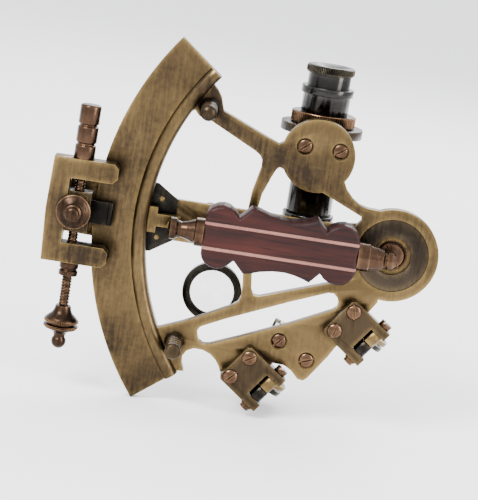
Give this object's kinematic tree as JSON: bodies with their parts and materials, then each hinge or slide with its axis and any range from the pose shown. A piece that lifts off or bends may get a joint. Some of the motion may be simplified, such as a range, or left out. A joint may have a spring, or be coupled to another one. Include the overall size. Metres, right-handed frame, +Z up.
{
  "type": "nautical sextant",
  "caption": "Small antique-brass nautical sextant with wooden grip, telescope, shades, mirrors, index arm with magnifier and tangent screw; for measuring angles.",
  "frame": {"origin": "on the index arm's pivot axis, at the frame's back face, the side with the grip", "axes": "+X along the frame's midline from the limb to the pivot, +Y out of the front, from the grip side to the telescope side, +Z up along the telescope, towards its eyepiece"},
  "size_m": [0.131, 0.0476, 0.1226],
  "materials": {
    "brass": "antique satin brass, darker in the hollows",
    "dark_brass": "antique brass, bronzed",
    "copper": "copper-brown bronzed brass",
    "steel": "dark gunmetal, polished",
    "blackened": "blackened metal, satin",
    "wood": "reddish-brown hardwood, oiled, with two pale inlaid lines",
    "silver": "silvered, satin",
    "clear_glass": "clear ground lens",
    "light_glass": "light green shade glass",
    "dark_glass": "dark red shade glass",
    "mirror_glass": "silvered mirror"
  },
  "bodies": {
    "frame_assembly": {"frame": "brass", "scale_arc": "silver", "bearing_bush": "copper", "bearing_plate": "blackened", "upper_foot": "dark_brass", "lower_foot": "dark_brass", "grip": "wood", "grip_tie_rod": "steel", "grip_outer_ferrule": "copper", "grip_inner_ferrule": "copper", "grip_outer_post": "brass", "grip_inner_post": "brass", "telescope_carrier": "dark_brass", "carrier_screws": "copper", "telescope_tube": "steel", "objective_ring": "steel", "objective_lens": "clear_glass", "horizon_mirror_bracket": "brass", "horizon_mirror_clip": "silver", "horizon_mirror_glass": "mirror_glass", "horizon_mirror_screws": "copper", "horizon_shade_bracket": "dark_brass", "index_shade_bracket": "dark_brass", "horizon_shade_pin": "copper", "index_shade_pin": "copper", "shade_bracket_screws": "copper"},
    "index_arm_assembly": {"index_arm": "brass", "index_shaft": "steel", "pivot_screw": "copper", "vernier_plate": "blackened", "vernier_pins": "brass", "index_mirror_bracket": "brass", "index_mirror_clip": "silver", "index_mirror_glass": "mirror_glass", "index_mirror_screws": "copper", "tangent_bracket": "brass", "tangent_barrel": "copper", "bracket_screws": "copper", "magnifier_post": "brass"},
    "tangent_screw_assembly": {"tangent_screw": "copper", "tangent_knob": "copper"},
    "clamp": {"clamp_block": "dark_brass", "clamp_shoe": "blackened"},
    "clamp_knob_body": {"clamp_knob": "copper"},
    "magnifier": {"magnifier_arm": "blackened", "magnifier_lens": "clear_glass"},
    "horizon_shade_light_body": {"horizon_shade_light": "brass", "horizon_light_glass": "light_glass"},
    "horizon_shade_dark_body": {"horizon_shade_dark": "blackened", "horizon_dark_glass": "dark_glass"},
    "index_shade_light_body": {"index_shade_light": "brass", "index_light_glass": "light_glass"},
    "index_shade_dark_body": {"index_shade_dark": "blackened", "index_dark_glass": "dark_glass"},
    "lock_ring": {"telescope_lock_ring": "dark_brass"},
    "eyepiece": {"eyepiece_tube": "steel", "eyepiece_cap": "blackened", "eyepiece_lens": "clear_glass"}
  },
  "joints": [
    {"name": "index_arm_swing", "type": "hinge", "parent": "frame_assembly", "child": "index_arm_assembly", "pos_m": [0, 0, 0], "axis": [0, 1, 0], "range_deg": [-26, 26]},
    {"name": "tangent_screw_turn", "type": "hinge", "parent": "index_arm_assembly", "child": "tangent_screw_assembly", "pos_m": [-0.1054, -0.004, 0], "axis": [0, 0, 1], "range_deg": [-1800, 1800]},
    {"name": "clamp_slide", "type": "slide", "parent": "index_arm_assembly", "child": "clamp", "axis": [0, 0, 1], "range_m": [-0.00317, 0.00317]},
    {"name": "clamp_knob_turn", "type": "hinge", "parent": "clamp", "child": "clamp_knob_body", "pos_m": [-0.1062, -0.008, 0], "axis": [0, -1, 0], "range_deg": [-180, 180]},
    {"name": "magnifier_swing", "type": "hinge", "parent": "index_arm_assembly", "child": "magnifier", "pos_m": [-0.062, 0.0292, 0], "axis": [0, 1, 0], "range_deg": [0, 100]},
    {"name": "horizon_light_shade_fold", "type": "hinge", "parent": "frame_assembly", "child": "horizon_shade_light_body", "pos_m": [-0.03541, -0.0025, -0.05071], "axis": [-0.5948, 0, -0.8039], "range_deg": [0, 100]},
    {"name": "horizon_dark_shade_fold", "type": "hinge", "parent": "frame_assembly", "child": "horizon_shade_dark_body", "pos_m": [-0.03541, -0.0025, -0.05071], "axis": [-0.5948, 0, -0.8039], "range_deg": [0, 100]},
    {"name": "index_light_shade_fold", "type": "hinge", "parent": "frame_assembly", "child": "index_shade_light_body", "pos_m": [-0.00356, -0.0025, -0.02991], "axis": [-0.5948, 0, -0.8039], "range_deg": [0, 100]},
    {"name": "index_dark_shade_fold", "type": "hinge", "parent": "frame_assembly", "child": "index_shade_dark_body", "pos_m": [-0.00356, -0.0025, -0.02991], "axis": [-0.5948, 0, -0.8039], "range_deg": [0, 100]},
    {"name": "lock_ring_turn", "type": "hinge", "parent": "frame_assembly", "child": "lock_ring", "pos_m": [-0.029, 0.018, 0.0397], "axis": [0, 0, 1], "range_deg": [-180, 180]},
    {"name": "eyepiece_focus", "type": "slide", "parent": "frame_assembly", "child": "eyepiece", "axis": [0, 0, 1], "range_m": [-0.004, 0.005]}
  ],
  "couplings": [
    {"joint": "tangent_screw_turn", "follows": "clamp_slide", "rad_per_m": -9894.8}
  ]
}
